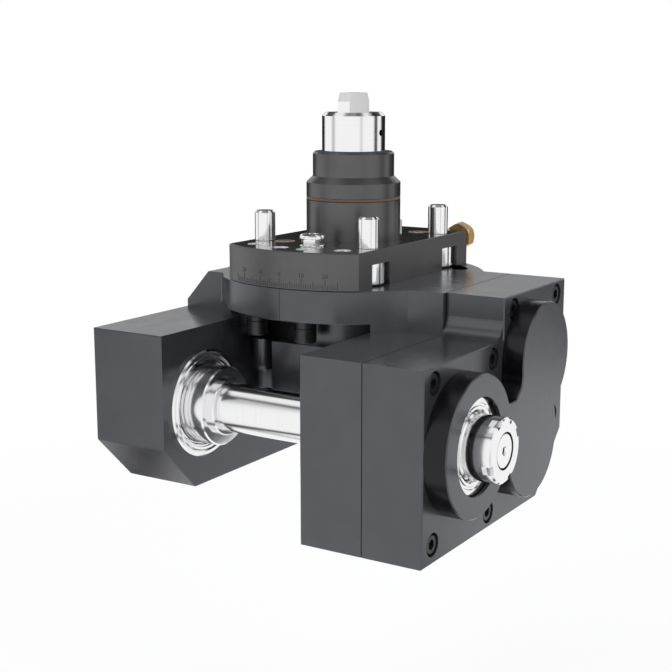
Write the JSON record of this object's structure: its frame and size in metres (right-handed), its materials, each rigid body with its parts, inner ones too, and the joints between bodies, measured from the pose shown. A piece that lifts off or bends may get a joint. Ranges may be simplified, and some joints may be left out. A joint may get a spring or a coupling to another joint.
{
  "type": "gear hobbing driven tool holder",
  "caption": "Driven hobbing head with swivel base, geared side case, hob arbor carried between two arms and a cylindrical shank with a flat drive tang.",
  "frame": {"origin": "shank axis on the clamping face of the flange", "axes": "+Z along the shank, away from the flange; +X towards the gear case, along the hob arbor; -Y towards the front, where the arbor is"},
  "size_m": [0.2311, 0.2079, 0.2243],
  "materials": {
    "black_oxide": "satin black oxide",
    "black_screw": "satin black",
    "bright_steel": "ground and polished",
    "gear_steel": "ground",
    "bearing_steel": "polished",
    "brass": "satin",
    "brown_rubber": "matte",
    "black_rubber": "matte",
    "blue_rubber": "matte",
    "gasket": "matte"
  },
  "bodies": {
    "base": {"shank_flange": "black_oxide", "shank_ring": "brown_rubber", "shaft_seal": "blue_rubber", "mounting_bolts": "bright_steel", "coolant_nipple": "bright_steel", "port_seals": "brown_rubber", "port_plugs": "bright_steel", "index_pin": "bright_steel", "coolant_fitting": "brass", "clamp_washers": "bright_steel", "clamp_screws": "bright_steel", "drive_bearings": "bearing_steel"},
    "head": {"swivel_head": "black_oxide", "support_block": "black_oxide", "support_bearing": "bearing_steel", "support_ring": "bright_steel", "support_cap": "black_oxide", "support_cap_screws": "black_screw", "support_screws": "black_screw", "gear_cover": "black_oxide", "cover_gasket": "gasket", "cover_screws": "black_screw", "cover_dowels": "gear_steel", "face_ring": "bright_steel", "nose_seal": "black_rubber", "spindle_bearings": "bearing_steel", "idler_bearings": "bearing_steel", "cross_bearings": "bearing_steel", "coolant_jet": "black_oxide"},
    "drive": {"drive_coupling": "bright_steel", "drive_shaft": "gear_steel", "shaft_spacer": "gear_steel", "input_bevel": "gear_steel"},
    "cross": {"cross_shaft": "gear_steel", "cross_bevel": "gear_steel", "cross_pinion": "gear_steel"},
    "idler": {"idler_shaft": "gear_steel", "idler_gear": "gear_steel"},
    "spindle": {"spindle_sleeve": "bright_steel", "spindle_gear": "gear_steel", "hob_arbor": "bright_steel", "arbor_nut": "bright_steel", "support_collar": "bright_steel", "support_nut": "bright_steel"}
  },
  "joints": [
    {"name": "head_swivel", "type": "hinge", "parent": "base", "child": "head", "pos_m": [0, 0, -0.0203], "axis": [0, 0, 1], "range_deg": [-25, 25]},
    {"name": "spindle_turn", "type": "hinge", "parent": "head", "child": "spindle", "pos_m": [0, -0.094, -0.086], "axis": [1, 0, 0], "continuous": true},
    {"name": "idler_turn", "type": "hinge", "parent": "head", "child": "idler", "pos_m": [0.096, -0.02906, -0.09781], "axis": [1, 0, 0], "continuous": true},
    {"name": "cross_turn", "type": "hinge", "parent": "head", "child": "cross", "pos_m": [0.096, 0, -0.0559], "axis": [1, 0, 0], "continuous": true},
    {"name": "drive_turn", "type": "hinge", "parent": "head", "child": "drive", "pos_m": [0, 0, 0.05], "axis": [0, 0, 1], "continuous": true}
  ],
  "couplings": [
    {"joint": "idler_turn", "follows": "spindle_turn", "ratio": -0.83333},
    {"joint": "cross_turn", "follows": "spindle_turn", "ratio": 2},
    {"joint": "drive_turn", "follows": "spindle_turn", "ratio": -2}
  ]
}
